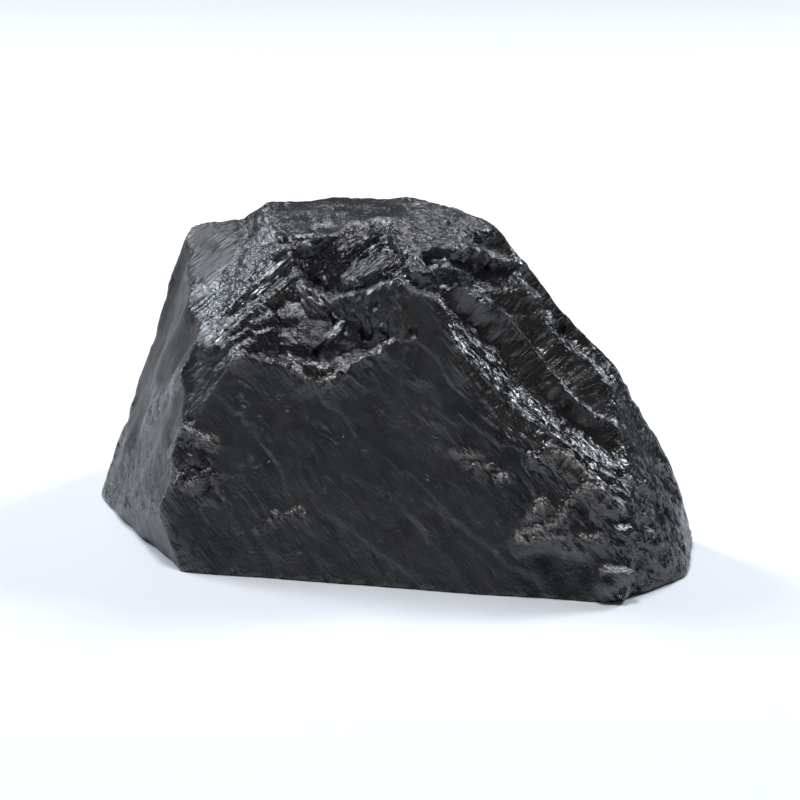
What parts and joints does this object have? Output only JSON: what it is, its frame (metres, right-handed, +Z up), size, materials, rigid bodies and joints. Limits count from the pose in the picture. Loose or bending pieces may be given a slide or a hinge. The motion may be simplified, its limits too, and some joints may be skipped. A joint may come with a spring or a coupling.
{
  "type": "coal lump",
  "caption": "Lump of black coal broken from a seam: broad flat front face, blunt flaky crown, stepped right slope and a flat seat to lie on.",
  "frame": {"origin": "middle of the lump's bounding box, at the height of the flat seat it lies on", "axes": "+X along the lump towards its low toe, +Y away from the broad front face, +Z up from the seat"},
  "size_m": [0.0928, 0.0638, 0.0491],
  "materials": {
    "coal": "bare broken coal, dull to satin with glassy glints on fresh flakes"
  },
  "bodies": {
    "root": {"coal_lump": "coal"}
  },
  "joints": []
}
